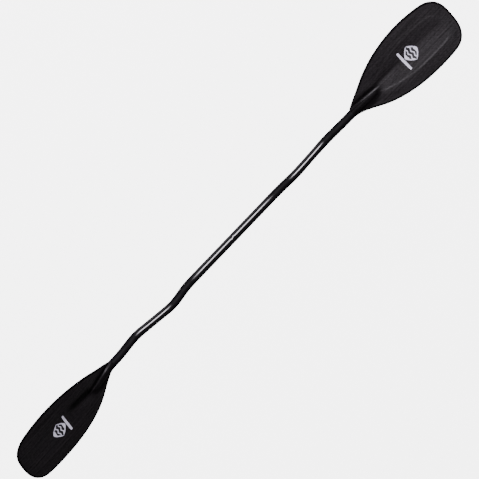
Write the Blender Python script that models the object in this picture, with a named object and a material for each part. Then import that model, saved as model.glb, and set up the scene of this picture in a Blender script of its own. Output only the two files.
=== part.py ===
"""Two-bladed whitewater kayak paddle with a double-bent carbon shaft.

All dimensions are in millimetres; the mesh is written in metres. +X runs
along the shaft to the right-hand blade, +Z is up, the power faces look up.
"""
import math
import bpy
import bmesh
import numpy as np

# ---------------------------------------------------------------- dimensions
LENGTH = 2000.0          # overall, tip to tip
SHAFT_R = 14.0           # outside radius of the slim shaft
SHAFT_WALL = 1.6
FEATHER = 30.0           # angle between the two power faces, degrees
NECK_X = 554.0           # where the blade skins begin
TONGUE_X = 622.0         # the shaft end under the power face, nose starts here
TONGUE_NOSE = 54.0
CENTRE_JOINT_X = 205.0   # centre tube meets the bent grip tube
NECK_JOINT_X = 487.0     # grip tube meets the neck tube
BEND_X = (212.0, 286.0, 437.0, 522.0)
BEND_Z = (0.0, 15.5, -11.8, 0.0)
BEND_T = 26.0            # half length of each blended bend
OVAL_W, OVAL_N = 0.957, 1.0     # grip section relative to the round shaft
GAP = 0.3                # bond line between neighbouring pieces
SKIN = 1.0               # laminate thickness
RIM_W = 6.5              # width of the reinforced rim
PANEL_D = 42.0           # the raised core panel starts this far from the edge
RIM_T = 2.1              # half thickness of the rim
SEG = 20                 # facets round the shaft
# printed badge and bar on each power face: (along, across) of their centres
MARKS = {"left": ((829.0, 2.0), (795.5, 1.0)),
         "right": ((819.0, 6.5), (784.5, 4.0))}

# outline half widths at stations along the blade (0 = neck, 1 = tip)
STATIONS = (0.05, 0.12, 0.22, 0.36, 0.52, 0.68, 0.82, 0.92, 0.98)
LOWER_EDGE = (18.3, 30.8, 53.5, 75.5, 89.1, 93.5, 91.9, 80.9, 48.8)
UPPER_EDGE = (27.4, 44.1, 67.7, 90.6, 103.8, 106.4, 100.1, 87.8, 62.3)
TIP_X = LENGTH / 2.0
BLADE_L = TIP_X - NECK_X

N_LONG = 22              # blade grid, neck to tip
N_CROSS = 10             # blade grid, spine to edge
TUBE_ANGLES = (0.0, 22.0, 44.0, 62.0, 78.0, 90.0)   # columns over the shaft
SIDE_W = SHAFT_R + 1.4   # first column clear of the shaft's side
J_TUBE = len(TUBE_ANGLES)


def clear():
    for ob in list(bpy.data.objects):
        bpy.data.objects.remove(ob, do_unlink=True)


def smooth(t):
    t = np.clip(t, 0.0, 1.0)
    return t * t * (3.0 - 2.0 * t)


def spline(xs, ys, q):
    """Natural cubic spline through (xs, ys), evaluated at q."""
    xs = np.asarray(xs, float)
    ys = np.asarray(ys, float)
    n = len(xs)
    h = np.diff(xs)
    a = np.eye(n)
    b = np.zeros(n)
    for i in range(1, n - 1):
        a[i, i - 1], a[i, i], a[i, i + 1] = h[i - 1], 2 * (h[i - 1] + h[i]), h[i]
        b[i] = 6 * ((ys[i + 1] - ys[i]) / h[i] - (ys[i] - ys[i - 1]) / h[i - 1])
    m = np.linalg.solve(a, b)
    q = np.asarray(q, float)
    k = np.clip(np.searchsorted(xs, q) - 1, 0, n - 2)
    t0, t1 = xs[k + 1] - q, q - xs[k]
    hk = h[k]
    return ((m[k] * t0 ** 3 + m[k + 1] * t1 ** 3) / (6 * hk)
            + (ys[k] / hk - m[k] * hk / 6) * t0
            + (ys[k + 1] / hk - m[k + 1] * hk / 6) * t1)


# ------------------------------------------------------------------ the shaft
def crank(x):
    """Height of the bent shaft's axis above the straight centre line."""
    z = 0.0
    slope = 0.0
    for i in range(4):
        if i < 3:
            nxt = (BEND_Z[i + 1] - BEND_Z[i]) / (BEND_X[i + 1] - BEND_X[i])
        else:
            nxt = 0.0
        q = x - BEND_X[i]
        if q > BEND_T:
            ramp = q
        elif q > -BEND_T:
            ramp = (q + BEND_T) ** 2 / (4 * BEND_T)
        else:
            ramp = 0.0
        z += (nxt - slope) * ramp
        slope = nxt
    return z


def spine(u):
    """Mid-surface height along the blade's centre line."""
    z = spline((-0.10, 0.0, 0.10, 0.19, 0.25, 0.50, 0.75, 1.0),
               (0.0, 0.0, 9.4, 18.3, 23.6, 35.0, 39.5, 42.5), u)
    return np.where(np.asarray(u) <= 0.0, 0.0, z)


def drop(u):
    """How far the shaft's axis lies under the blade's mid-surface."""
    return 1.5 * smooth(u / 0.14) \
        + 4.6 * smooth(u / 0.16) * (1.0 - smooth((u - 0.25) / 0.35))


def tube_axis(x):
    """Axis height of the whole shaft, into the blade."""
    u = (x - NECK_X) / BLADE_L
    return crank(x) + float(spine(u)) - float(drop(u))


def shaft_stations():
    xs = [0.0, 100.0, 165.0, 186.0]
    for bx in BEND_X:
        xs += [bx + BEND_T * k / 2.0 for k in range(-2, 3)]
    xs += [322.0, 345.0, 380.0, 402.0, 545.0, NECK_X - 0.3]
    xs += [NECK_X + k * 15.0 for k in range(0, 8)]
    xs = sorted(set(round(x, 4) for x in xs))
    return [x for i, x in enumerate(xs) if i == 0 or x - xs[i - 1] > 0.2]


XS = shaft_stations()
ZS = [tube_axis(x) for x in XS]


def section(x):
    """Centre height and the unit direction across the shaft at x."""
    z = float(np.interp(x, XS, ZS))
    if x >= 545.0:
        return z, (0.0, 1.0)
    a = (tube_axis(x + 1.0) - tube_axis(x - 1.0)) / 2.0
    n = math.hypot(1.0, a)
    return z, (-a / n, 1.0 / n)


def ovality(x):
    f = float(smooth((x - 300.0) / 45.0) * (1.0 - smooth((x - 380.0) / 45.0)))
    return 1.0 + (OVAL_W - 1.0) * f, 1.0 + (OVAL_N - 1.0) * f


def ring(x, r):
    z, (dx, dz) = section(x)
    ow, on = ovality(x)
    pts = []
    for k in range(SEG):
        a = 2 * math.pi * k / SEG
        w, n = r * ow * math.cos(a), r * on * math.sin(a)
        pts.append((x + dx * n, w, z + dz * n))
    return pts


def place(pts, side):
    """Blade or shaft coordinates (along, across, normal) to the row frame."""
    a = math.radians(FEATHER / 2.0) * side
    out = []
    for s, w, z in pts:
        out.append((side * s,
                    w * math.cos(a) + z * math.sin(a),
                    -w * math.sin(a) + z * math.cos(a)))
    return out


def between(x0, x1):
    mid = [x for x in XS if x0 + 0.5 < x < x1 - 0.5]
    return [x0] + mid + [x1]


def tube(profile_out, profile_in):
    """Closed wall between outer and inner rings; each list is (x, radius)."""
    rings = [ring(x, r) for x, r in profile_out] + \
            [ring(x, r) for x, r in reversed(profile_in)]
    verts = [p for rg in rings for p in rg]
    faces = []
    n = len(rings)
    for i in range(n):
        j = (i + 1) % n
        for k in range(SEG):
            m = (k + 1) % SEG
            faces.append((i * SEG + k, i * SEG + m, j * SEG + m, j * SEG + k))
    return verts, faces


def rod(profile):
    rings = [ring(x, r) for x, r in profile]
    verts = [p for rg in rings for p in rg]
    faces = [tuple(range(SEG)), tuple(len(verts) - SEG + k for k in range(SEG))]
    for i in range(len(rings) - 1):
        for k in range(SEG):
            m = (k + 1) % SEG
            faces.append((i * SEG + k, i * SEG + m,
                          (i + 1) * SEG + m, (i + 1) * SEG + k))
    return verts, faces


# ------------------------------------------------------------------ the blade
def outline(n):
    """Points along the lower and upper edges, neck to tip, n + 1 each."""
    pts = [(0.0, SHAFT_R)]
    pts += [(u, w) for u, w in zip(STATIONS, LOWER_EDGE)]
    pts += [(1.0, -1.5)]
    pts += [(u, -w) for u, w in zip(STATIONS[::-1], UPPER_EDGE[::-1])]
    pts += [(0.0, -SHAFT_R)]
    p = np.array([(NECK_X + u * BLADE_L, w) for u, w in pts])
    d = np.concatenate([[0], np.cumsum(np.hypot(*np.diff(p, axis=0).T))])
    tip = d[len(STATIONS) + 1]
    t = np.linspace(0.0, 1.0, n + 1)
    f = t - 0.10 * np.sin(2 * math.pi * t)
    low = np.c_[spline(d, p[:, 0], f * tip), spline(d, p[:, 1], f * tip)]
    q = d[-1] - f * (d[-1] - tip)
    upp = np.c_[spline(d, p[:, 0], q), spline(d, p[:, 1], q)]
    low[:, 1] *= -1.0            # across is positive toward the upper edge
    upp[:, 1] *= -1.0
    upp[-1] = low[-1]
    return low, upp


LOW, UPP = outline(N_LONG)
FINE_LOW, FINE_UPP = outline(160)
FINE = np.vstack([FINE_LOW, FINE_UPP[::-1]])


def edge_distance(p):
    a = FINE[:-1]
    ab = FINE[1:] - a
    l2 = (ab ** 2).sum(1) + 1e-9
    t = np.clip(((p[:, None] - a) * ab).sum(2) / l2, 0, 1)
    d = p[:, None] - a - t[..., None] * ab
    return np.sqrt((d ** 2).sum(2).min(1))


def lift(u):
    """How far the edges stand above the centre line."""
    return spline((-0.1, 0.0, 0.10, 0.25, 0.50, 0.75, 1.0),
                  (0.0, 0.0, 1.8, 3.4, 3.5, 3.5, 4.5), u)


def rim_half(u):
    return 0.15 + 1.20 * smooth(u / 0.012) \
        + (RIM_T - 1.35) * smooth((u - 0.03) / 0.06)


def rim_width(u):
    return 1.2 + (RIM_W - 1.2) * smooth((u - 0.04) / 0.13)


def mid(p):
    u = (p[:, 0] - NECK_X) / BLADE_L
    ref = np.interp(u, (0, 0.05, 0.12, 0.22, 0.36, 0.52, 1.0),
                    (14, 23, 37, 60, 83, 96, 100))
    r = np.sqrt((p[:, 1] / ref) ** 2 + 0.09) - 0.3
    return spine(u) + lift(u) * r / 0.744


def smax(a, b, k):
    h = np.clip(1.0 - np.abs(a - b) / k, 0.0, 1.0)
    return np.maximum(a, b) + k * h * h / 4.0


def faces_z(p):
    """Outer heights of the power face and the back face at points p."""
    u = (p[:, 0] - NECK_X) / BLADE_L
    d = edge_distance(p)
    m = mid(p)
    te = rim_half(u)
    start = smooth(u / 0.10)
    w = p[:, 1]
    swell = smooth((d - RIM_W) / 26.0) * start
    inside = smooth((d - PANEL_D) / 7.5)
    panel = 0.7 * inside * np.tanh((w - 18.0) / 7.0)
    groove = 1.3 * np.exp(-((w - 14.0) / 7.5) ** 2) * smooth((u - 0.19) / 0.07) \
        * (1 - smooth((u - 0.34) / 0.16))
    valley = (2.4 - 0.055 * (np.sqrt((w - 15.0) ** 2 + 9.0) - 3.0)) \
        * smooth((d - 26.0) / 26.0) * smooth((u - 0.20) / 0.15) \
        * (1 - smooth((u - 0.68) / 0.24))
    top = m + te + (0.9 - 0.6 * np.tanh(w / 25.0)) * swell + panel - valley - groove
    bot = m - te - 1.95 * swell - 2.0 * smooth((d - 25.0) / 45.0)
    axis = np.array([tube_axis(x) for x in p[:, 0]])
    k = 0.05 + 6.5 * smooth(u / 0.13)
    w2 = p[:, 1] ** 2
    q = np.clip((p[:, 0] - TONGUE_X) / TONGUE_NOSE
                + 0.45 * w2 / SHAFT_R ** 2 * (p[:, 0] > TONGUE_X), 0.0, 1.0)
    rise = axis + np.sqrt(np.maximum(SHAFT_R ** 2 - w2, 0.0)) \
        - 30.0 * (w2 > SHAFT_R ** 2)
    fade = 1.0 - q ** 2.2
    rise = np.where(rise > top, top + (rise - top) * fade, rise)
    top = smax(top, rise - 6.0 * (1.0 - fade), k)
    rb = SHAFT_R * (1.0 - 0.75 * smooth((p[:, 0] - TONGUE_X) / 210.0))
    bot = -smax(-bot, -axis + np.sqrt(np.maximum(rb ** 2 - w2, 0.0))
                - 30.0 * (w2 > rb ** 2), k)
    return top, bot


U_LOW = (LOW[:, 0] - NECK_X) / BLADE_L
U_UPP = (UPP[:, 0] - NECK_X) / BLADE_L
U_AVG = (U_LOW + U_UPP) / 2.0
CENTRE = NECK_X + BLADE_L * (U_AVG - 0.11 * U_AVG ** 8)
RIM_FROM = int(np.argmax(np.minimum(U_LOW, U_UPP) >= 0.04))


def edge_line(i, upper):
    """Spine point, edge point and the inward allowance for the rim."""
    q = (UPP if upper else LOW)[i]
    c = np.array([CENTRE[i], 0.0])
    edge = UPP if upper else LOW
    t = edge[min(i + 1, N_LONG)] - edge[max(i - 1, 0)]
    if i == N_LONG:
        t = np.array([0.0, 1.0])
    v = q - c
    length = float(np.hypot(*v))
    sin = abs(t[0] * v[1] - t[1] * v[0]) / (np.hypot(*t) * length)
    return c, q, length, max(float(sin), 0.35)


def grid():
    """Skin grid: index map and plan positions, spine column shared."""
    idx, pos = {}, []
    for i in range(N_LONG + 1):
        for upper in (False, True):
            c, q, length, sin = edge_line(i, upper)
            u = (q[0] - NECK_X) / BLADE_L
            if i < RIM_FROM:
                rb = 1.0
            else:
                rb = 1.0 - (float(rim_width(u)) + GAP) / sin / length
            wide = abs(q[1]) * rb
            for j in range(N_CROSS + 1):
                key = (i, 0) if j == 0 else (i, j, upper)
                if i == N_LONG:
                    key = (i, j)
                if key in idx:
                    continue
                if wide <= SIDE_W + 6:
                    r = rb * math.sin(0.5 * math.pi * j / N_CROSS)
                else:
                    if j < J_TUBE:
                        near = SHAFT_R / wide * math.sin(
                            math.radians(TUBE_ANGLES[j]))
                    else:
                        near = SIDE_W / wide
                        near += (1.0 - near) * (j - J_TUBE) / (N_CROSS - J_TUBE)
                    far = float(smooth((c[0] - 690.0) / 150.0))
                    r = rb * (near * (1.0 - far) + j / N_CROSS * far)
                idx[key] = len(pos)
                pos.append(c + (q - c) * r)
    return idx, np.array(pos)


IDX, PLAN = grid()
TOP, BOT = faces_z(PLAN)


def key(i, j, upper):
    if i == N_LONG:
        return IDX[(i, j)]
    return IDX[(i, 0)] if j == 0 else IDX[(i, j, upper)]


def cells(test):
    out = []
    for i in range(N_LONG):
        for upper in (False, True):
            for j in range(N_CROSS):
                if not test(i, j):
                    continue
                quad = [key(i, j, upper), key(i + 1, j, upper),
                        key(i + 1, j + 1, upper), key(i, j + 1, upper)]
                if upper:
                    quad.reverse()
                a, b, c, d = quad
                out += [(a, b, c), (a, c, d)]
    return out


def normals(pts, faces):
    n = np.zeros_like(pts)
    for f in faces:
        p = pts[list(f)]
        v = np.cross(p[2] - p[0], p[-1] - p[1])
        for k in f:
            n[k] += v
    n[:, 2] = np.where(np.abs(n).sum(1) < 1e-9, 1.0, n[:, 2])
    n /= np.linalg.norm(n, axis=1)[:, None]
    if n[:, 2].sum() < 0:
        n = -n
    return n


ALL = cells(lambda i, j: True)
TOP_PTS = np.c_[PLAN, TOP]
BOT_PTS = np.c_[PLAN, BOT]
TOP_N = normals(TOP_PTS, ALL)
BOT_N = -normals(BOT_PTS, ALL)


def slab(upper_pts, lower_pts, faces):
    """Closed body between two sheets that share the same cells."""
    used = sorted({k for f in faces for k in f})
    remap = {k: n for n, k in enumerate(used)}
    n = len(used)
    verts = [tuple(upper_pts[k]) for k in used] + \
            [tuple(lower_pts[k]) for k in used]
    out, count = [], {}
    for f in faces:
        g = [remap[k] for k in f]
        out.append(tuple(g))
        out.append(tuple(n + k for k in reversed(g)))
        for a, b in zip(g, g[1:] + g[:1]):
            e = (min(a, b), max(a, b))
            count[e] = count.get(e, 0) + 1
    for (a, b), c in count.items():
        if c == 1:
            out.append((a, b, n + b, n + a))
    return verts, out


def blade_bodies():
    """Skins, core and rim in blade coordinates."""
    power = slab(TOP_PTS, TOP_PTS - SKIN * TOP_N, ALL)
    back = slab(BOT_PTS - SKIN * BOT_N, BOT_PTS, ALL)
    inner = SKIN + GAP
    first = next(i for i in range(N_LONG)
                 if min(abs(LOW[i, 1]), abs(UPP[i, 1])) > SHAFT_R + 14.0
                 and min(U_LOW[i], U_UPP[i]) >= 0.09)
    last = next(i for i in range(N_LONG) if CENTRE[i] > TONGUE_X + 16.0)
    keep = cells(lambda i, j: i >= first and (i >= last or j >= J_TUBE))
    core = slab(TOP_PTS - inner * TOP_N, BOT_PTS - inner * BOT_N, keep)
    return power, back, core


def rim_body():
    prof = ((1.0, 1.0), (0.22, 0.96), (0.06, 0.70), (0.0, 0.26),
            (0.0, -0.26), (0.06, -0.70), (0.22, -0.96), (1.0, -1.0))
    order = [(i, False) for i in range(RIM_FROM, N_LONG + 1)] + \
            [(i, True) for i in range(N_LONG - 1, RIM_FROM - 1, -1)]
    verts, faces = [], []
    for i, upper in order:
        c, q, length, sin = edge_line(i, upper)
        u = (q[0] - NECK_X) / BLADE_L
        w = float(rim_width(u)) / sin / length
        plan = np.array([c + (q - c) * (1.0 - w * a) for a, _ in prof])
        z = mid(plan) + rim_half((plan[:, 0] - NECK_X) / BLADE_L) \
            * np.array([b for _, b in prof])
        verts += [(p[0], p[1], h) for p, h in zip(plan, z)]
    m, n = len(prof), len(order)
    faces.append(tuple(range(m)))
    faces.append(tuple((n - 1) * m + k for k in range(m)))
    for i in range(n - 1):
        for k in range(m):
            l = (k + 1) % m
            faces.append((i * m + k, i * m + l, (i + 1) * m + l, (i + 1) * m + k))
    return verts, faces


def decal(cx, cw, half_x, half_w, power_of):
    """Thin rounded badge lying on the power face, close to the spine."""
    n_r, n_a = 3, 24
    plan = [(cx, cw)]
    for r in range(1, n_r + 1):
        for a in range(n_a):
            t = 2 * math.pi * a / n_a
            ct, st = math.cos(t), math.sin(t)
            g = (abs(ct) ** power_of + abs(st) ** power_of) ** (-1 / power_of)
            plan.append((cx + half_x * g * ct * r / n_r,
                         cw + half_w * g * st * r / n_r))
    plan = np.array(plan)
    z, _ = faces_z(plan)
    faces = [(0, 1 + a, 1 + (a + 1) % n_a) for a in range(n_a)]
    for r in range(n_r - 1):
        for a in range(n_a):
            b = (a + 1) % n_a
            o = 1 + r * n_a
            faces.append((o + a, o + n_a + a, o + n_a + b))
            faces.append((o + a, o + n_a + b, o + b))
    return slab(np.c_[plan, z + 0.75], np.c_[plan, z + 0.45], faces)


# ------------------------------------------------------------------ materials
def material(name, colour, rough, metal=0.0, coat=0.0):
    m = bpy.data.materials.new(name)
    m.use_nodes = True
    b = m.node_tree.nodes["Principled BSDF"]
    b.inputs["Base Color"].default_value = (*colour, 1.0)
    b.inputs["Roughness"].default_value = rough
    b.inputs["Metallic"].default_value = metal
    b.inputs["Coat Weight"].default_value = coat
    return m


def add(name, body, side, mat, shade=True):
    verts, faces = body
    pts = place(verts, side)
    me = bpy.data.meshes.new(name)
    me.from_pydata([(x / 1000.0, y / 1000.0, z / 1000.0) for x, y, z in pts],
                   [], faces)
    bm = bmesh.new()
    bm.from_mesh(me)
    bmesh.ops.recalc_face_normals(bm, faces=bm.faces[:])
    bmesh.ops.triangulate(bm, faces=[f for f in bm.faces if len(f.verts) > 4])
    bm.to_mesh(me)
    bm.free()
    if shade:
        me.shade_smooth()
        me.set_sharp_from_angle(angle=math.radians(35))
    ob = bpy.data.objects.new(name, me)
    bpy.context.scene.collection.objects.link(ob)
    me.materials.append(mat)
    return ob


def build():
    clear()
    wall_in = SHAFT_R - SHAFT_WALL
    gloss = material("gloss_carbon_tube", (0.012, 0.012, 0.015), 0.18, 0, 1.0)
    grip = material("satin_carbon_grip", (0.014, 0.014, 0.016), 0.45)
    neck = material("neck_carbon", (0.012, 0.012, 0.014), 0.35)
    sleeve = material("joiner_glass_fibre", (0.35, 0.32, 0.22), 0.5)
    foam = material("closed_cell_foam", (0.80, 0.76, 0.66), 0.9)
    face = material("blade_power_carbon", (0.020, 0.020, 0.022), 0.32)
    rear = material("blade_back_carbon", (0.016, 0.016, 0.018), 0.32)
    edge = material("rim_laminate", (0.010, 0.010, 0.011), 0.5)
    mark = material("white_print", (0.86, 0.86, 0.92), 0.5)

    c = CENTRE_JOINT_X - GAP / 2
    half = between(0.0, c)
    # the centre tube is straight between the first bends' starts, and each
    # half follows its own bend plane, so it is built from both halves
    rings = []
    for x in reversed(half[1:]):
        rings.append(place(ring(x, SHAFT_R), -1))
    for x in half[1:]:
        rings.append(place(ring(x, SHAFT_R), 1))
    inner = []
    for x in reversed(half[1:]):
        inner.append(place(ring(x, SHAFT_R - SHAFT_WALL), -1))
    for x in half[1:]:
        inner.append(place(ring(x, SHAFT_R - SHAFT_WALL), 1))
    loops = rings + inner[::-1]
    verts = [p for rg in loops for p in rg]
    faces = []
    n = len(loops)
    for i in range(n):
        j = (i + 1) % n
        for k in range(SEG):
            m = (k + 1) % SEG
            faces.append((i * SEG + k, i * SEG + m, j * SEG + m, j * SEG + k))
    me_body = (verts, faces)
    add_world("shaft_centre_tube", me_body, gloss)

    power, back, core = blade_bodies()
    rim = rim_body()
    for side, word in ((-1, "left"), (1, "right")):
        badge_at, stripe_at = MARKS[word]
        badge = decal(*badge_at, 27.0, 27.0, 1.35)
        stripe = decal(*stripe_at, 4.2, 34.0, 6.0)
        xs = between(CENTRE_JOINT_X + GAP / 2, NECK_JOINT_X - GAP / 2)
        add(word + "_grip_tube", tube([(x, SHAFT_R) for x in xs],
                                      [(x, wall_in) for x in xs]), side, grip)
        end = TONGUE_X - 8.0
        xs = between(NECK_JOINT_X + GAP / 2, NECK_X - GAP)
        xo = between(NECK_X - GAP + 0.01, end)
        spigot = SHAFT_R - SKIN - 3 * GAP
        add(word + "_neck_tube",
            tube([(x, SHAFT_R) for x in xs] + [(x, spigot) for x in xo],
                 [(x, wall_in) for x in xs if x < NECK_X - 10]
                 + [(x, spigot - 1.5) for x in xs if x >= NECK_X - 10]
                 + [(x, spigot - 1.5) for x in xo]), side, neck)
        for label, at, a, b in (("centre", CENTRE_JOINT_X, 38.0, 38.0),
                                ("neck", NECK_JOINT_X, 38.0, 30.0)):
            xs = between(at - a, at + b)
            r = wall_in - 0.2
            add("_".join((word, label, "joiner_sleeve")),
                tube([(x, r) for x in xs], [(x, r - 1.4) for x in xs]),
                side, sleeve)
        xs = between(NECK_X + 8.0, end - 2.0)
        add(word + "_shaft_foam_plug",
            rod([(x, spigot - 1.5 - GAP) for x in xs]), side, foam)
        add(word + "_blade_power_skin", power, side, face)
        add(word + "_blade_back_skin", back, side, rear)
        add(word + "_blade_foam_core", core, side, foam)
        add(word + "_blade_rim", rim, side, edge)
        add(word + "_blade_badge", badge, side, mark)
        add(word + "_blade_stripe", stripe, side, mark)

    # rest the paddle on the ground plane, centred on its plan
    lo = np.array([1e9] * 3)
    hi = -lo
    for ob in bpy.data.objects:
        for v in ob.data.vertices:
            lo = np.minimum(lo, v.co[:])
            hi = np.maximum(hi, v.co[:])
    shift = np.array([(lo[0] + hi[0]) / 2, (lo[1] + hi[1]) / 2, lo[2]])
    for ob in bpy.data.objects:
        for v in ob.data.vertices:
            v.co = [v.co[k] - shift[k] for k in range(3)]
    print("frame shift mm", [round(float(x) * 1000, 3) for x in shift])


def add_world(name, body, mat):
    verts, faces = body
    me = bpy.data.meshes.new(name)
    me.from_pydata([(x / 1000.0, y / 1000.0, z / 1000.0) for x, y, z in verts],
                   [], faces)
    bm = bmesh.new()
    bm.from_mesh(me)
    bmesh.ops.recalc_face_normals(bm, faces=bm.faces[:])
    bm.to_mesh(me)
    bm.free()
    me.shade_smooth()
    me.set_sharp_from_angle(angle=math.radians(35))
    ob = bpy.data.objects.new(name, me)
    bpy.context.scene.collection.objects.link(ob)
    me.materials.append(mat)


build()
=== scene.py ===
import math
import bpy
import bmesh
import numpy as np
from mathutils import Matrix, Vector


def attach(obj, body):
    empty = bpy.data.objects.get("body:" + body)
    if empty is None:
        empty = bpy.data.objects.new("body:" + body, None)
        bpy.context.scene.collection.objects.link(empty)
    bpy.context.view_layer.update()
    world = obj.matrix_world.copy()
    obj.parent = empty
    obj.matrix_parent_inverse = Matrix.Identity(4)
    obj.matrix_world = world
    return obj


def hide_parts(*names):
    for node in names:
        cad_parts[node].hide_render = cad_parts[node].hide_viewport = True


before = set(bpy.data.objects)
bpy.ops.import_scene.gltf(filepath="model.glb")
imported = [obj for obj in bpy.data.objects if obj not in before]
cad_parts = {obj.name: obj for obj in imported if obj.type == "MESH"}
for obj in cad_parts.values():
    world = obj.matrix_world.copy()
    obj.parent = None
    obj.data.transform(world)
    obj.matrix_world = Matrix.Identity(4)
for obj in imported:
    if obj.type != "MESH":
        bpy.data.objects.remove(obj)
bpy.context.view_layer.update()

# ---------------------------------------------------------------- dimensions
# millimetres, blade coordinates: along the shaft, across, normal
SHIFT = (0.0, 6.264, -23.369)        # row frame origin in those coordinates
LENGTH = 2000.0
SHAFT_R = 14.0
SHAFT_WALL = 1.6
FEATHER = 30.0
NECK_X = 554.0
TONGUE_X = 622.0
TONGUE_NOSE = 54.0
CENTRE_JOINT_X = 205.0
NECK_JOINT_X = 487.0
BEND_X = (212.0, 286.0, 437.0, 522.0)
BEND_Z = (0.0, 15.5, -11.8, 0.0)
BEND_T = 26.0
OVAL_W, OVAL_N = 0.957, 1.0
GAP = 0.3
SKIN = 1.0
RIM_W = 6.5
PANEL_D = 42.0
RIM_T = 2.1
SEG = 72
MARKS = {"left": ((829.0, 2.0), (795.5, 1.0)),
         "right": ((819.0, 6.5), (784.5, 4.0))}
STATIONS = (0.05, 0.12, 0.22, 0.36, 0.52, 0.68, 0.82, 0.92, 0.98)
LOWER_EDGE = (18.3, 30.8, 53.5, 75.5, 89.1, 93.5, 91.9, 80.9, 48.8)
UPPER_EDGE = (27.4, 44.1, 67.7, 90.6, 103.8, 106.4, 100.1, 87.8, 62.3)
TIP_X = LENGTH / 2.0
BLADE_L = TIP_X - NECK_X
N_LONG = 150
N_CROSS = 60
J_TUBE = 22
SIDE_W = SHAFT_R + 1.4


def smooth(t):
    t = np.clip(t, 0.0, 1.0)
    return t * t * (3.0 - 2.0 * t)


def spline(xs, ys, q):
    xs = np.asarray(xs, float)
    ys = np.asarray(ys, float)
    n = len(xs)
    h = np.diff(xs)
    a = np.eye(n)
    b = np.zeros(n)
    for i in range(1, n - 1):
        a[i, i - 1], a[i, i], a[i, i + 1] = h[i - 1], 2 * (h[i - 1] + h[i]), h[i]
        b[i] = 6 * ((ys[i + 1] - ys[i]) / h[i] - (ys[i] - ys[i - 1]) / h[i - 1])
    m = np.linalg.solve(a, b)
    q = np.asarray(q, float)
    k = np.clip(np.searchsorted(xs, q) - 1, 0, n - 2)
    t0, t1 = xs[k + 1] - q, q - xs[k]
    hk = h[k]
    return ((m[k] * t0 ** 3 + m[k + 1] * t1 ** 3) / (6 * hk)
            + (ys[k] / hk - m[k] * hk / 6) * t0
            + (ys[k + 1] / hk - m[k + 1] * hk / 6) * t1)


def crank(x):
    x = np.asarray(x, float)
    z = np.zeros_like(x)
    slope = 0.0
    for i in range(4):
        nxt = ((BEND_Z[i + 1] - BEND_Z[i]) / (BEND_X[i + 1] - BEND_X[i])
               if i < 3 else 0.0)
        q = x - BEND_X[i]
        ramp = np.where(q > BEND_T, q,
                        np.where(q > -BEND_T,
                                 (q + BEND_T) ** 2 / (4 * BEND_T), 0.0))
        z = z + (nxt - slope) * ramp
        slope = nxt
    return z


def spine(u):
    z = spline((-0.10, 0.0, 0.10, 0.19, 0.25, 0.50, 0.75, 1.0),
               (0.0, 0.0, 9.4, 18.3, 23.6, 35.0, 39.5, 42.5), u)
    return np.where(np.asarray(u) <= 0.0, 0.0, z)


def drop(u):
    return 1.5 * smooth(u / 0.14) \
        + 4.6 * smooth(u / 0.16) * (1.0 - smooth((u - 0.25) / 0.35))


def tube_axis(x):
    u = (np.asarray(x, float) - NECK_X) / BLADE_L
    return crank(x) + spine(u) - drop(u)


def outline(n):
    pts = [(0.0, SHAFT_R)]
    pts += [(u, w) for u, w in zip(STATIONS, LOWER_EDGE)]
    pts += [(1.0, -1.5)]
    pts += [(u, -w) for u, w in zip(STATIONS[::-1], UPPER_EDGE[::-1])]
    pts += [(0.0, -SHAFT_R)]
    p = np.array([(NECK_X + u * BLADE_L, w) for u, w in pts])
    d = np.concatenate([[0], np.cumsum(np.hypot(*np.diff(p, axis=0).T))])
    tip = d[len(STATIONS) + 1]
    t = np.linspace(0.0, 1.0, n + 1)
    f = t - 0.10 * np.sin(2 * math.pi * t)
    low = np.c_[spline(d, p[:, 0], f * tip), spline(d, p[:, 1], f * tip)]
    q = d[-1] - f * (d[-1] - tip)
    upp = np.c_[spline(d, p[:, 0], q), spline(d, p[:, 1], q)]
    low[:, 1] *= -1.0
    upp[:, 1] *= -1.0
    upp[-1] = low[-1]
    return low, upp


LOW, UPP = outline(N_LONG)
F_LOW, F_UPP = outline(200)
FINE = np.vstack([F_LOW, F_UPP[::-1]])


def edge_distance(p):
    out = np.empty(len(p))
    a = FINE[:-1]
    ab = FINE[1:] - a
    l2 = (ab ** 2).sum(1) + 1e-9
    for s in range(0, len(p), 4000):
        q = p[s:s + 4000]
        t = np.clip(((q[:, None] - a) * ab).sum(2) / l2, 0, 1)
        d = q[:, None] - a - t[..., None] * ab
        out[s:s + 4000] = np.sqrt((d ** 2).sum(2).min(1))
    return out


def lift(u):
    return spline((-0.1, 0.0, 0.10, 0.25, 0.50, 0.75, 1.0),
                  (0.0, 0.0, 1.8, 3.4, 3.5, 3.5, 4.5), u)


def rim_half(u):
    return 0.15 + 1.20 * smooth(u / 0.012) \
        + (RIM_T - 1.35) * smooth((u - 0.03) / 0.06)


def rim_width(u):
    return 1.2 + (RIM_W - 1.2) * smooth((u - 0.04) / 0.13)


def mid(p):
    u = (p[:, 0] - NECK_X) / BLADE_L
    ref = np.interp(u, (0, 0.05, 0.12, 0.22, 0.36, 0.52, 1.0),
                    (14, 23, 37, 60, 83, 96, 100))
    r = np.sqrt((p[:, 1] / ref) ** 2 + 0.09) - 0.3
    return spine(u) + lift(u) * r / 0.744


def smax(a, b, k):
    h = np.clip(1.0 - np.abs(a - b) / k, 0.0, 1.0)
    return np.maximum(a, b) + k * h * h / 4.0


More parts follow.
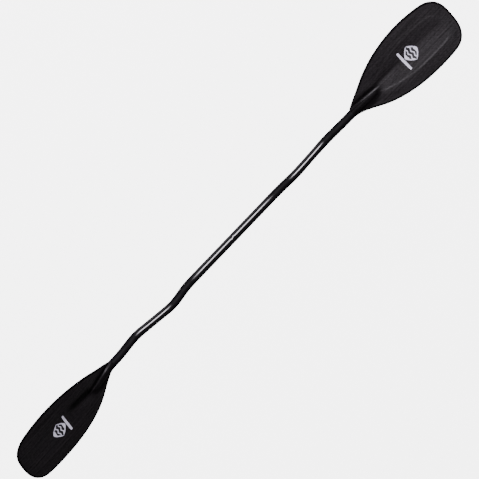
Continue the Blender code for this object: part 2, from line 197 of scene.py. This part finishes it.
def faces_z(p):
    u = (p[:, 0] - NECK_X) / BLADE_L
    d = edge_distance(p)
    m = mid(p)
    te = rim_half(u)
    start = smooth(u / 0.10)
    w = p[:, 1]
    swell = smooth((d - RIM_W) / 26.0) * start
    inside = smooth((d - PANEL_D) / 7.5)
    panel = 0.7 * inside * np.tanh((w - 18.0) / 7.0)
    groove = 1.3 * np.exp(-((w - 14.0) / 7.5) ** 2) * smooth((u - 0.19) / 0.07) \
        * (1 - smooth((u - 0.34) / 0.16))
    valley = (2.4 - 0.055 * (np.sqrt((w - 15.0) ** 2 + 9.0) - 3.0)) \
        * smooth((d - 26.0) / 26.0) * smooth((u - 0.20) / 0.15) \
        * (1 - smooth((u - 0.68) / 0.24))
    top = m + te + (0.9 - 0.6 * np.tanh(w / 25.0)) * swell + panel - valley - groove
    bot = m - te - 1.95 * swell - 2.0 * smooth((d - 25.0) / 45.0)
    axis = tube_axis(p[:, 0])
    k = 0.05 + 6.5 * smooth(u / 0.13)
    w2 = p[:, 1] ** 2
    q = np.clip((p[:, 0] - TONGUE_X) / TONGUE_NOSE
                + 0.45 * w2 / SHAFT_R ** 2 * (p[:, 0] > TONGUE_X), 0.0, 1.0)
    rise = axis + np.sqrt(np.maximum(SHAFT_R ** 2 - w2, 0.0)) \
        - 30.0 * (w2 > SHAFT_R ** 2)
    fade = 1.0 - q ** 2.2
    rise = np.where(rise > top, top + (rise - top) * fade, rise)
    top = smax(top, rise - 6.0 * (1.0 - fade), k)
    rb = SHAFT_R * (1.0 - 0.75 * smooth((p[:, 0] - TONGUE_X) / 210.0))
    bot = -smax(-bot, -axis + np.sqrt(np.maximum(rb ** 2 - w2, 0.0))
                - 30.0 * (w2 > rb ** 2), k)
    return top, bot


U_LOW = (LOW[:, 0] - NECK_X) / BLADE_L
U_UPP = (UPP[:, 0] - NECK_X) / BLADE_L
U_AVG = (U_LOW + U_UPP) / 2.0
CENTRE = NECK_X + BLADE_L * (U_AVG - 0.11 * U_AVG ** 8)
RIM_FROM = int(np.argmax(np.minimum(U_LOW, U_UPP) >= 0.04))


def edge_line(i, upper):
    edge = UPP if upper else LOW
    q = edge[i]
    c = np.array([CENTRE[i], 0.0])
    t = edge[min(i + 1, N_LONG)] - edge[max(i - 1, 0)]
    if i == N_LONG:
        t = np.array([0.0, 1.0])
    v = q - c
    length = float(np.hypot(*v))
    sin = abs(t[0] * v[1] - t[1] * v[0]) / (np.hypot(*t) * length)
    return c, q, length, max(float(sin), 0.35)


def place(p, side):
    """Blade coordinates (n, 3) in mm to the row frame in metres."""
    p = np.asarray(p, float)
    a = math.radians(FEATHER / 2.0) * side
    out = np.c_[side * p[:, 0],
                p[:, 1] * math.cos(a) + p[:, 2] * math.sin(a),
                -p[:, 1] * math.sin(a) + p[:, 2] * math.cos(a)]
    return (out - np.array(SHIFT)) / 1000.0


def make(name, pts, faces, mat, uv=None, crease=40.0):
    me = bpy.data.meshes.new(name)
    me.from_pydata([tuple(p) for p in pts], [], faces)
    if uv is not None:
        lay = me.uv_layers.new(name="UVMap")
        loop_v = np.empty(len(me.loops), dtype=np.int32)
        me.loops.foreach_get("vertex_index", loop_v)
        lay.data.foreach_set("uv", np.asarray(uv, float)[loop_v].ravel())
    bm = bmesh.new()
    bm.from_mesh(me)
    bmesh.ops.recalc_face_normals(bm, faces=bm.faces[:])
    bm.to_mesh(me)
    bm.free()
    me.shade_smooth()
    me.set_sharp_from_angle(angle=math.radians(crease))
    ob = bpy.data.objects.new(name, me)
    bpy.context.scene.collection.objects.link(ob)
    me.materials.append(mat)
    return ob


# ----------------------------------------------------------------- materials
class Tree:
    def __init__(self, name):
        self.m = bpy.data.materials.new(name)
        self.m.use_nodes = True
        self.t = self.m.node_tree
        self.b = self.t.nodes["Principled BSDF"]
        self.uv = self.t.nodes.new("ShaderNodeUVMap")
        self.uv.uv_map = "UVMap"
        s = self.t.nodes.new("ShaderNodeSeparateXYZ")
        self.t.links.new(self.uv.outputs["UV"], s.inputs[0])
        self.u, self.v = s.outputs[0], s.outputs[1]

    def put(self, sock, value):
        if isinstance(value, bpy.types.NodeSocket):
            self.t.links.new(value, sock)
        elif isinstance(value, (tuple, list)):
            sock.default_value = tuple(value) + ((1.0,) if len(value) == 3 and
                                                 len(sock.default_value) == 4
                                                 else ())
        else:
            sock.default_value = value

    def math(self, op, a, b=0.0, c=None, clamp=False):
        n = self.t.nodes.new("ShaderNodeMath")
        n.operation = op
        n.use_clamp = clamp
        self.put(n.inputs[0], a)
        self.put(n.inputs[1], b)
        if c is not None:
            self.put(n.inputs[2], c)
        return n.outputs[0]

    def step(self, x, lo, hi):
        n = self.t.nodes.new("ShaderNodeMapRange")
        n.interpolation_type = "SMOOTHSTEP"
        self.put(n.inputs["Value"], x)
        n.inputs["From Min"].default_value = lo
        n.inputs["From Max"].default_value = hi
        return n.outputs[0]

    def noise(self, su, sv, detail=3.0, rough=0.5, offset=0.0):
        c = self.t.nodes.new("ShaderNodeCombineXYZ")
        self.put(c.inputs[0], self.math("MULTIPLY", self.u, su))
        self.put(c.inputs[1], self.math("MULTIPLY", self.v, sv))
        c.inputs[2].default_value = offset
        n = self.t.nodes.new("ShaderNodeTexNoise")
        self.put(n.inputs["Vector"], c.outputs[0])
        n.inputs["Scale"].default_value = 1.0
        n.inputs["Detail"].default_value = detail
        n.inputs["Roughness"].default_value = rough
        return n.outputs[0]

    def mix(self, f, a, b):
        n = self.t.nodes.new("ShaderNodeMix")
        n.data_type = "RGBA"
        self.put(n.inputs["Factor"], f)
        self.put(n.inputs["A"], a)
        self.put(n.inputs["B"], b)
        return n.outputs["Result"]

    def twill(self, pitch):
        """2x2 twill: 0 where the warp is on top, 1 where the weft is."""
        a = self.math("FLOOR", self.math("DIVIDE", self.u, pitch))
        b = self.math("FLOOR", self.math("DIVIDE", self.v, pitch))
        s = self.math("FLOORED_MODULO", self.math("ADD", a, b), 4.0)
        return self.math("LESS_THAN", s, 1.5)

    def bump(self, height, distance, strength=1.0):
        n = self.t.nodes.new("ShaderNodeBump")
        n.inputs["Strength"].default_value = strength
        n.inputs["Distance"].default_value = distance
        self.put(n.inputs["Height"], height)
        self.t.links.new(n.outputs[0], self.b.inputs["Normal"])

    def set(self, name, value):
        self.put(self.b.inputs[name], value)


def carbon_blade(name, tint, sheen, rough, tongue=True, shade_streak_strength=0.0):
    """Woven carbon under a thin satin resin, with long streaks.

    u runs along the blade and v across it, both in metres. The marks over the moulded-in
    shaft end, painted shade in the hollows beside it among them, are on the power face only
    (tongue), and the last argument sets how strong the streak of painted shade beyond its
    end is."""
    t = Tree(name)
    streak = t.noise(4.0, 190.0, 3.0, 0.65)
    fine = t.noise(14.0, 520.0, 2.0, 0.6, 7.0)
    broad = t.noise(9.0, 40.0, 2.0, 0.5, 4.0)
    weave = t.twill(0.002)
    f = t.math("MULTIPLY_ADD", t.math("SUBTRACT", streak, 0.5), 2.4, 0.5,
               clamp=True)
    f = t.math("ADD", t.math("MULTIPLY", f, 0.60),
               t.math("ADD", t.math("MULTIPLY", weave, 0.12),
                      t.math("MULTIPLY", fine, 0.30)), clamp=True)
    blotch = t.noise(110.0, 190.0, 3.0, 0.7, 9.0)
    f = t.math("MULTIPLY", f, t.math("MULTIPLY_ADD", broad, 0.7, 0.55))
    f = t.math("ADD", f, t.math("MULTIPLY", t.math("SUBTRACT", blotch, 0.5),
                                1.3), clamp=True)
    t.set("Base Color", t.mix(f, tuple(c * 0.35 for c in tint),
                              tuple(c * 2.3 for c in tint)))
    # over the moulded-in shaft end: a lane of painted shade darkens the colour of the
    # tongue and of the matt hollows either side of it, a little less on its satin top and
    # much less along a glossier line down its upper flank
    a = t.math("ADD", t.math("ABSOLUTE", t.v), t.math(
        "MULTIPLY", t.math("MAXIMUM", t.math("SUBTRACT", t.u, 0.630), 0.0),
        0.25))
    on = 1.0 if tongue else 0.0
    reach = t.math("MULTIPLY", t.math("SUBTRACT", 1.0, t.step(
        t.u, 0.655, 0.690)), on)
    lane = t.math("MULTIPLY", reach,
                  t.math("SUBTRACT", 1.0, t.step(a, 0.020, 0.034)))
    crown = t.math("MULTIPLY", reach,
                   t.math("SUBTRACT", 1.0, t.step(a, 0.004, 0.009)))
    line = t.math("ABSOLUTE", t.math("SUBTRACT", t.v, t.math(
        "MULTIPLY_ADD", t.math("SUBTRACT", t.u, 0.560), -0.085, 0.0148)))
    flank = t.math("MULTIPLY", reach, t.math(
        "SUBTRACT", 1.0, t.step(line, 0.0012, 0.0034)))
    polish = t.math("MULTIPLY_ADD", t.step(t.u, 0.560, 0.645), 0.50, 0.18)
    # painted shade mask: the tongue's lane and hollows, less the flank line and part of the
    # top
    hollow_painted_shade = t.math("SUBTRACT", lane, t.math("MAXIMUM", t.math(
        "MULTIPLY", flank, 0.75), t.math(
        "MULTIPLY", polish, t.math("MULTIPLY", crown, 0.35))), clamp=True)
    # painted shade: a dark, dull streak from the tongue's end toward the badge, strong on
    # the left blade and faint on the right
    off = t.math("ABSOLUTE", t.math("SUBTRACT", t.v, t.math(
        "MULTIPLY_ADD", t.math("SUBTRACT", t.u, 0.680), 0.15, 0.018)))
    # painted shade mask for the dark streak past the tongue
    painted_shade_streak = t.math("MULTIPLY", t.math("SUBTRACT", on, t.step(off, 0.004, 0.022),
                                     clamp=True),
                  t.math("MULTIPLY", t.step(t.u, 0.655, 0.680), t.math(
                      "SUBTRACT", 1.0, t.step(t.u, 0.735, 0.790))))
    # painted shade: dark is the share of base colour kept where the painted shade of the
    # hollows and the streak falls
    dark = t.math("SUBTRACT", t.math("MULTIPLY_ADD", hollow_painted_shade, -0.65, 1.0),
                  t.math("MULTIPLY", painted_shade_streak, 0.15 + 0.75 * shade_streak_strength),
                  clamp=True)
    base = t.mix(f, tuple(c * 0.35 for c in tint), tuple(c * 2.2 for c in tint))
    # the base colour is mixed toward near black by that painted shade
    t.set("Base Color", t.mix(t.math("SUBTRACT", 1.0, dark), base,
                              (0.0008, 0.0007, 0.0008)))
    t.set("Roughness", t.math("ADD", t.math("MULTIPLY_ADD", streak, -0.16,
                                            rough + 0.08),
                              t.math("MULTIPLY_ADD", flank, -0.12,
                                     t.math("MULTIPLY", lane, 0.08))))
    s = t.math("MULTIPLY", t.math("MULTIPLY_ADD", f, 1.4, 0.35),
               t.math("MULTIPLY_ADD", t.step(t.u, 0.70, 0.87), 0.22 * sheen,
                      0.78 * sheen))
    t.set("Specular IOR Level",
          t.math("MULTIPLY", t.math("ADD", s, t.math("MULTIPLY", flank, 0.08)),
                 t.math("SUBTRACT", t.math("MULTIPLY_ADD", hollow_painted_shade, -0.90, 1.0),
                        t.math("MULTIPLY", painted_shade_streak, 0.75 * shade_streak_strength), clamp=True)))
    t.bump(t.math("ADD", t.math("MULTIPLY", streak, 0.6),
                  t.math("MULTIPLY", weave, 0.25)), 0.00006, 0.6)
    return t.m


def carbon_shaft(name, spans):
    """Gloss and satin lengths of the shaft; u runs along it in metres."""
    t = Tree(name)
    gloss = None
    for a, b, soft in spans:
        g = t.math("MULTIPLY", t.step(t.u, a - soft, a + soft),
                   t.math("SUBTRACT", 1.0, t.step(t.u, b - soft, b + soft)))
        gloss = g if gloss is None else t.math("MAXIMUM", gloss, g)
    matt = t.math("SUBTRACT", 1.0, gloss)
    wear = t.noise(40.0, 90.0, 3.0, 0.55)
    fine = t.noise(8.0, 900.0, 2.0, 0.5, 2.0)
    grain = t.noise(900.0, 900.0, 2.0, 0.6, 5.0)
    t.set("Base Color", t.mix(t.math("ADD", t.math("MULTIPLY", fine, 0.5),
                                     t.math("MULTIPLY", grain, 0.25)),
                              (0.0012, 0.0011, 0.0014),
                              (0.0065, 0.0056, 0.0072)))
    t.set("Roughness", t.math("ADD", t.math("MULTIPLY", matt, 0.48),
                              t.math("MULTIPLY_ADD", wear, 0.07, 0.10)))
    # the gloss coat is thin and worn toward grazing sight lines
    lw = t.t.nodes.new("ShaderNodeLayerWeight")
    lw.inputs["Blend"].default_value = 0.5
    keep = t.math("MULTIPLY_ADD", t.step(lw.outputs["Facing"], 0.12, 0.36),
                  -0.9, 1.0)
    t.set("Coat Weight", t.math("MULTIPLY", gloss, keep))
    t.set("Coat Roughness", 0.07)
    t.set("Coat IOR", 1.62)
    t.set("Specular IOR Level", t.math("MULTIPLY", keep, t.math(
        "MULTIPLY_ADD", gloss, 0.36, t.math("MULTIPLY", wear, 0.20))))
    t.bump(t.math("ADD", t.math("MULTIPLY", fine, t.math(
        "MULTIPLY_ADD", gloss, 0.10, 0.1)), t.math("MULTIPLY", grain, matt)),
        0.00005, 0.5)
    return t.m


def plain(name, colour, rough, spec=0.5):
    t = Tree(name)
    n = t.noise(60.0, 60.0, 3.0, 0.5)
    t.set("Base Color", t.mix(n, tuple(c * 0.85 for c in colour),
                              tuple(min(c * 1.15, 1.0) for c in colour)))
    t.set("Roughness", rough)
    t.set("Specular IOR Level", spec)
    return t.m


def print_mark(name, waves):
    """White print; waves leaves dark wavy lines in the badge."""
    t = Tree(name)
    wear = t.noise(500.0, 500.0, 2.0, 0.6)
    white = t.mix(wear, (0.62, 0.61, 0.72), (0.80, 0.80, 0.90))
    if waves:
        w = t.math("SINE", t.math("MULTIPLY", t.v, 330.0))
        p = t.math("ADD", t.u, t.math("MULTIPLY", w, 0.0022))
        c = t.math("ABSOLUTE", t.math("SUBTRACT", t.math("FRACT", t.math(
            "MULTIPLY_ADD", p, 1000.0 / 13.0, 0.5)), 0.5))
        inside = t.math("LESS_THAN", t.math("ABSOLUTE", t.u), 0.0165)
        side = t.math("LESS_THAN", t.math("ADD", t.math("ABSOLUTE", t.u),
                                          t.math("ABSOLUTE", t.v)), 0.0265)
        line = t.math("MULTIPLY", t.math("LESS_THAN", c, 0.35),
                      t.math("MULTIPLY", inside, side))
        white = t.mix(line, white, (0.012, 0.012, 0.013))
    t.set("Base Color", white)
    t.set("Roughness", 0.5)
    return t.m


BLADE_TINT = (0.0080, 0.0068, 0.0076)
# the left blade's power face gets the strong streak of painted shade past the tongue, the
# right one a faint one
power_mats = {
    "right": carbon_blade("power_face_carbon", BLADE_TINT, 0.30, 0.46),
    "left": carbon_blade("power_face_carbon_shade_streak", BLADE_TINT, 0.30, 0.46,
                         True, 1.0)}
back_mat = carbon_blade("back_face_carbon", BLADE_TINT, 0.30, 0.46, False)
rim_mat = plain("rim_laminate", (0.0016, 0.0014, 0.0016), 0.55, 0.06)
tube_mat = carbon_shaft("centre_tube_carbon", ((-0.162, 0.162, 0.034),))
grip_mat = carbon_shaft("grip_tube_carbon", ((-0.426, -0.305, 0.018),
                                             (0.274, 0.411, 0.018)))
neck_mat = carbon_shaft("neck_tube_carbon", ((-0.001, 0.001, 0.001),))
badge_mat = print_mark("badge_print", True)
stripe_mat = print_mark("stripe_print", False)
foam_mat = plain("core_foam", (0.80, 0.76, 0.66), 0.9)
sleeve_mat = plain("sleeve_glass_fibre", (0.35, 0.32, 0.22), 0.5)


# -------------------------------------------------------------------- pieces
def slab(upper, lower, faces, uv):
    used = np.unique(np.array(faces).ravel())
    remap = -np.ones(len(upper), int)
    remap[used] = np.arange(len(used))
    n = len(used)
    fs = [tuple(int(remap[k]) for k in f) for f in faces]
    out = list(fs) + [tuple(n + k for k in reversed(f)) for f in fs]
    count = {}
    for f in fs:
        for a, b in zip(f, f[1:] + f[:1]):
            e = (a, b) if a < b else (b, a)
            count[e] = count.get(e, 0) + 1
    out += [(a, b, n + b, n + a) for (a, b), c in count.items() if c == 1]
    return (np.vstack([upper[used], lower[used]]), out,
            np.vstack([uv[used], uv[used]]))


def blade_grid():
    idx, pos = {}, []
    ang = [90.0 * j / (J_TUBE - 1) for j in range(J_TUBE)]
    for i in range(N_LONG + 1):
        for upper in (False, True):
            c, q, length, sin = edge_line(i, upper)
            u = (q[0] - NECK_X) / BLADE_L
            rb = 1.0 if i < RIM_FROM else \
                1.0 - (float(rim_width(u)) + GAP) / sin / length
            wide = abs(q[1]) * rb
            for j in range(N_CROSS + 1):
                key = (i, 0) if j == 0 else (i, j, upper)
                if i == N_LONG:
                    key = (i, j)
                if key in idx:
                    continue
                if wide <= SIDE_W + 6:
                    r = rb * math.sin(0.5 * math.pi * j / N_CROSS)
                else:
                    if j < J_TUBE:
                        near = SHAFT_R / wide * math.sin(math.radians(ang[j]))
                    else:
                        near = SIDE_W / wide
                        near += (1 - near) * (j - J_TUBE) / (N_CROSS - J_TUBE)
                    far = float(smooth((c[0] - 690.0) / 150.0))
                    r = rb * (near * (1.0 - far) + j / N_CROSS * far)
                idx[key] = len(pos)
                pos.append(c + (q - c) * r)
    return idx, np.array(pos)


IDX, PLAN = blade_grid()
TOP, BOT = faces_z(PLAN)


def key(i, j, upper):
    if i == N_LONG:
        return IDX[(i, j)]
    return IDX[(i, 0)] if j == 0 else IDX[(i, j, upper)]


CELLS, CORE = [], []
first = next(i for i in range(N_LONG)
             if min(abs(LOW[i, 1]), abs(UPP[i, 1])) > SHAFT_R + 14.0
             and min(U_LOW[i], U_UPP[i]) >= 0.09)
last = next(i for i in range(N_LONG) if CENTRE[i] > TONGUE_X + 16.0)
for i in range(N_LONG):
    for upper in (False, True):
        for j in range(N_CROSS):
            quad = (key(i, j, upper), key(i + 1, j, upper),
                    key(i + 1, j + 1, upper), key(i, j + 1, upper))
            quad = quad[::-1] if upper else quad
            CELLS.append(quad)
            if i >= first and (i >= last or j >= J_TUBE):
                CORE.append(quad)


def normals(pts):
    f = np.array(CELLS)
    v = np.cross(pts[f[:, 2]] - pts[f[:, 0]], pts[f[:, 3]] - pts[f[:, 1]])
    n = np.zeros_like(pts)
    for k in range(4):
        np.add.at(n, f[:, k], v)
    n /= np.maximum(np.linalg.norm(n, axis=1), 1e-9)[:, None]
    return n if n[:, 2].sum() > 0 else -n


def blade(side, word):
    uv = PLAN / 1000.0
    top = np.c_[PLAN, TOP]
    bot = np.c_[PLAN, BOT]
    tn, bn = normals(top), -normals(bot)
    v, f, t = slab(top, top - SKIN * tn, CELLS, uv)
    ob = make(word + "_power_face", place(v, side), f, power_mats[word],
              t)
    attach(ob, "root")
    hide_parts(word + "_blade_power_skin")
    inner = SKIN + GAP
    v, f, t = slab(top - inner * tn, bot - inner * bn, CORE, uv)
    ob = make(word + "_core", place(v, side), f, foam_mat, t)
    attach(ob, "root")
    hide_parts(word + "_blade_foam_core")
    v, f, t = slab(bot - SKIN * bn, bot, CELLS, uv)
    ob = make(word + "_back_face", place(v, side), f, back_mat, t)
    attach(ob, "root")
    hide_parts(word + "_blade_back_skin")

    prof = [(1.08, 0.98), (1.0, 1.0), (0.5, 0.99), (0.22, 0.94), (0.12, 0.86), (0.05, 0.70),
            (0.015, 0.48), (0.0, 0.20)]
    prof = prof + [(a, -b) for a, b in prof[::-1]]
    order = [(i, False) for i in range(RIM_FROM - 1, N_LONG + 1)] + \
            [(i, True) for i in range(N_LONG - 1, RIM_FROM - 2, -1)]
    m, n = len(prof), len(order)
    plan, hh = [], []
    for i, upper in order:
        c, q, length, sin = edge_line(i, upper)
        u = (q[0] - NECK_X) / BLADE_L
        w = float(rim_width(u)) / sin / length
        plan += [c + (q - c) * (1.0 - w * a) for a, _ in prof]
        hh += [b for _, b in prof]
    plan = np.array(plan)
    z = mid(plan) + rim_half((plan[:, 0] - NECK_X) / BLADE_L) * np.array(hh)
    f = [tuple(range(m)), tuple((n - 1) * m + k for k in range(m))]
    for i in range(n - 1):
        for k in range(m):
            l = (k + 1) % m
            f.append((i * m + k, i * m + l, (i + 1) * m + l, (i + 1) * m + k))
    ob = make(word + "_rim", place(np.c_[plan, z], side), f, rim_mat,
              plan / 1000.0)
    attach(ob, "root")
    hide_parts(word + "_blade_rim")

    badge_at, stripe_at = MARKS[word]
    for label, (cx, cw), hx, hw, pw, mat in (
            ("badge", badge_at, 27.0, 27.0, 1.35, badge_mat),
            ("stripe", stripe_at, 4.2, 34.0, 6.0, stripe_mat)):
        n_r, n_a = 24, 96
        p = [(0.0, 0.0)]
        for r in range(1, n_r + 1):
            for a in range(n_a):
                th = 2 * math.pi * a / n_a
                ct, st = math.cos(th), math.sin(th)
                g = (abs(ct) ** pw + abs(st) ** pw) ** (-1 / pw)
                p.append((hx * g * ct * r / n_r, hw * g * st * r / n_r))
        p = np.array(p)
        q = p + np.array([cx, cw])
        zt, _ = faces_z(q)
        f = [(0, 1 + a, 1 + (a + 1) % n_a) for a in range(n_a)]
        for r in range(n_r - 1):
            o = 1 + r * n_a
            for a in range(n_a):
                b = (a + 1) % n_a
                f.append((o + a, o + n_a + a, o + n_a + b))
                f.append((o + a, o + n_a + b, o + b))
        v, f2, t = slab(np.c_[q, zt + 0.30], np.c_[q, zt + 0.08], f, p / 1000.0)
        ob = make("_".join((word, "face", label)), place(v, side), f2, mat, t)
        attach(ob, "root")
        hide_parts("_".join((word, "blade", label)))


def ring(x, r, side):
    z = float(tube_axis(x))
    if x >= 545.0:
        dx, dz = 0.0, 1.0
    else:
        a = float(tube_axis(x + 1.0) - tube_axis(x - 1.0)) / 2.0
        n = math.hypot(1.0, a)
        dx, dz = -a / n, 1.0 / n
    f = float(smooth((x - 300.0) / 45.0) * (1.0 - smooth((x - 380.0) / 45.0)))
    ow, on = 1 + (OVAL_W - 1) * f, 1 + (OVAL_N - 1) * f
    pts = []
    for k in range(SEG + 1):
        a = 2 * math.pi * k / SEG
        w, n = r * ow * math.cos(a), r * on * math.sin(a)
        pts.append((x + dx * n, w, z + dz * n))
    return place(np.array(pts), side)


def tube(name, node, profile, mat):
    """profile: (side, x, radius) round a closed wall; x is signed for u."""
    verts, uv, faces = [], [], []
    for side, x, r in profile:
        verts.append(ring(x, r, side))
        uv += [(side * x / 1000.0, r * 2 * math.pi * k / SEG / 1000.0)
               for k in range(SEG + 1)]
    n = len(profile)
    for i in range(n):
        j = (i + 1) % n
        for k in range(SEG):
            faces.append((i * (SEG + 1) + k, i * (SEG + 1) + k + 1,
                          j * (SEG + 1) + k + 1, j * (SEG + 1) + k))
    ob = make(name, np.vstack(verts), faces, mat, uv)
    bm = bmesh.new()
    bm.from_mesh(ob.data)
    bmesh.ops.remove_doubles(bm, verts=bm.verts[:], dist=1e-7)
    bmesh.ops.recalc_face_normals(bm, faces=bm.faces[:])
    bm.to_mesh(ob.data)
    bm.free()
    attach(ob, "root")
    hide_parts(node)
    return ob


def steps(a, b, d=4.0):
    n = max(1, int(round((b - a) / d)))
    return [a + (b - a) * k / n for k in range(n + 1)]


WALL_IN = SHAFT_R - SHAFT_WALL
SEAM = 0.02
c = CENTRE_JOINT_X - SEAM
outer = [(-1, x, SHAFT_R) for x in reversed(steps(5.0, c))] + \
        [(1, x, SHAFT_R) for x in steps(5.0, c)]
inner = [(s, x, WALL_IN) for s, x, _ in reversed(outer)]
tube("centre_tube", "shaft_centre_tube", outer + inner, tube_mat)
for side, word in ((-1, "left"), (1, "right")):
    xs = steps(CENTRE_JOINT_X + SEAM, NECK_JOINT_X - SEAM)
    tube(word + "_cranked_tube", word + "_grip_tube",
         [(side, x, SHAFT_R) for x in xs]
         + [(side, x, WALL_IN) for x in reversed(xs)], grip_mat)
    end = TONGUE_X - 8.0
    spigot = SHAFT_R - SKIN - 3 * GAP
    xs = steps(NECK_JOINT_X + SEAM, NECK_X - GAP)
    xo = steps(NECK_X - GAP + 0.01, end)
    tube(word + "_blade_neck", word + "_neck_tube",
         [(side, x, SHAFT_R) for x in xs] + [(side, x, spigot) for x in xo]
         + [(side, x, spigot - 1.5) for x in reversed(xo)]
         + [(side, x, (spigot - 1.5) if x >= NECK_X - 10 else WALL_IN)
            for x in reversed(xs)], neck_mat)
    blade(side, word)

# inner pieces keep their CAD shape
for name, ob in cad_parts.items():
    mat = None
    if name.endswith("joiner_sleeve"):
        mat = sleeve_mat
    elif name.endswith("foam_plug") or name.endswith("foam_core"):
        mat = foam_mat
    if mat is not None:
        ob.data.materials.clear()
        ob.data.materials.append(mat)

# --------------------------------------------------------------------- stage
fm = bpy.data.materials.new("pale_floor")
fm.use_nodes = True
fb = fm.node_tree.nodes["Principled BSDF"]
fb.inputs["Base Color"].default_value = (0.9, 0.9, 0.9, 1)
fb.inputs["Roughness"].default_value = 0.9
fb.inputs["Emission Color"].default_value = (1, 1, 1, 1)
lp = fm.node_tree.nodes.new("ShaderNodeLightPath")
mr = fm.node_tree.nodes.new("ShaderNodeMapRange")
mr.inputs["To Min"].default_value = 0.25
mr.inputs["To Max"].default_value = 5.0
fm.node_tree.links.new(lp.outputs["Is Camera Ray"], mr.inputs["Value"])
fm.node_tree.links.new(mr.outputs[0], fb.inputs["Emission Strength"])
bpy.ops.mesh.primitive_plane_add(size=60.0, location=(0, 0, -1.2))
floor = bpy.context.object
floor.name = "floor"
floor.data.materials.append(fm)

world = bpy.data.worlds.new("studio")
bpy.context.scene.world = world
world.use_nodes = True
world.node_tree.nodes["Background"].inputs[0].default_value = (1, 1, 1, 1)
lp = world.node_tree.nodes.new("ShaderNodeLightPath")
mr = world.node_tree.nodes.new("ShaderNodeMapRange")
mr.inputs["To Min"].default_value = 0.06
mr.inputs["To Max"].default_value = 5.0
world.node_tree.links.new(lp.outputs["Is Camera Ray"], mr.inputs["Value"])
world.node_tree.links.new(mr.outputs[0],
                          world.node_tree.nodes["Background"].inputs[1])

# ----------------------------------------------------------- camera geometry
TILT = math.radians(10.7)       # lens leans toward the left-hand blade
ROLL = math.radians(27.7)       # lens sits above the upper edges
DIAG = math.radians(46.2)       # slope of the shaft in the frame
SCALE = 3.147                   # mm per frame pixel at the shaft
DIST = 60.0
V0 = Vector((0.0, math.sin(ROLL), math.cos(ROLL)))
X = Vector((1.0, 0.0, 0.0))
V = (math.cos(TILT) * V0 - math.sin(TILT) * X).normalized()
ET = (math.cos(TILT) * X + math.sin(TILT) * V0).normalized()
EN = Vector((0.0, -math.cos(ROLL), math.sin(ROLL)))
R = math.cos(DIAG) * ET + math.sin(DIAG) * EN
U = math.sin(DIAG) * ET - math.cos(DIAG) * EN
P0 = Vector((-SHIFT[0], -SHIFT[1], -SHIFT[2])) / 1000.0
OFF_R, OFF_U = 7.1, -1.0
target = P0 + (R * OFF_R + U * OFF_U) * SCALE / 1000.0
cam_data = bpy.data.cameras.new("camera")
cam = bpy.data.objects.new("camera", cam_data)
bpy.context.scene.collection.objects.link(cam)
cam.matrix_world = Matrix.Translation(target + V * DIST) @ Matrix(
    (R, U, V)).transposed().to_4x4()
cam_data.sensor_width = 36.0
cam_data.lens = 36.0 * DIST * 1000.0 / (479.0 * SCALE)
cam_data.clip_end = 400.0
cam_data.dof.use_dof = False
bpy.context.scene.camera = cam


def soft_light(name, angle, lean, dist, size_x, size_n, radiance,
               colour=(1.0, 1.0, 1.0)):
    """Area light seen from the paddle at angle toward the lower edges."""
    a, l = math.radians(angle), math.radians(lean)
    d = (math.cos(a) * V0 + math.sin(a) * EN) * math.cos(l) + math.sin(l) * X
    d.normalize()
    data = bpy.data.lights.new(name, "AREA")
    data.shape = "RECTANGLE"
    data.size, data.size_y = size_x, size_n
    data.energy = radiance * math.pi * size_x * size_n
    ob = bpy.data.objects.new(name, data)
    bpy.context.scene.collection.objects.link(ob)
    z = d
    y = z.cross(X).normalized()
    x = y.cross(z).normalized()
    ob.matrix_world = Matrix.Translation(P0 + d * dist) @ Matrix(
        (x, y, z)).transposed().to_4x4()
    data.color = colour
    ob.visible_camera = False
    return ob


soft_light("key_softbox", -16.0, 12.0, 5.0, 4.8, 2.2, 14.0, (0.99, 0.935, 1.02))
